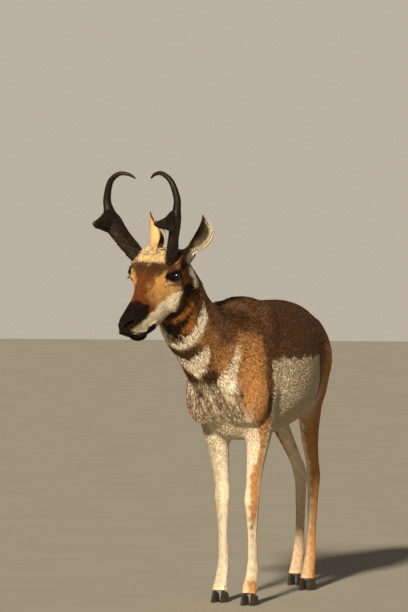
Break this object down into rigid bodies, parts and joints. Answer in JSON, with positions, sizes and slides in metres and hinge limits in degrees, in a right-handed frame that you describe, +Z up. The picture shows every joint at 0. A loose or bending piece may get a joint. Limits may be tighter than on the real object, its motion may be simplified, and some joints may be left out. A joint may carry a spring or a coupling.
{
  "type": "pronghorn",
  "caption": "Life-size standing pronghorn buck with pronged horns, looking to one side, a still display model that stands on its hooves.",
  "frame": {"origin": "centre of the bounding box at its lowest face, on the ground under the hooves", "axes": "+X forward along the trunk, toward the chest; +Y the animal's left; +Z up"},
  "size_m": [1.4884, 0.408, 1.2317],
  "materials": {
    "coat_brown": "matte short fur",
    "coat_pale": "matte long fur",
    "coat_rust": "matte short fur",
    "coat_tan": "matte short fur",
    "horn_black": "rough keratin, smoother to the tips",
    "eye_black": "wet gloss",
    "hoof_black": "satin keratin"
  },
  "bodies": {
    "root": {"torso": "coat_brown", "neck": "coat_brown", "head": "coat_rust", "horn_left": "horn_black", "horn_right": "horn_black", "ear_left": "coat_tan", "ear_right": "coat_tan", "eye_left": "eye_black", "eye_right": "eye_black", "tail": "coat_pale", "foreleg_left": "coat_tan", "foreleg_right": "coat_tan", "hindleg_left": "coat_tan", "hindleg_right": "coat_tan", "hoof_foreleg_left_outer": "hoof_black", "hoof_foreleg_left_inner": "hoof_black", "hoof_foreleg_right_outer": "hoof_black", "hoof_foreleg_right_inner": "hoof_black", "hoof_hindleg_left_outer": "hoof_black", "hoof_hindleg_left_inner": "hoof_black", "hoof_hindleg_right_outer": "hoof_black", "hoof_hindleg_right_inner": "hoof_black"}
  },
  "joints": []
}
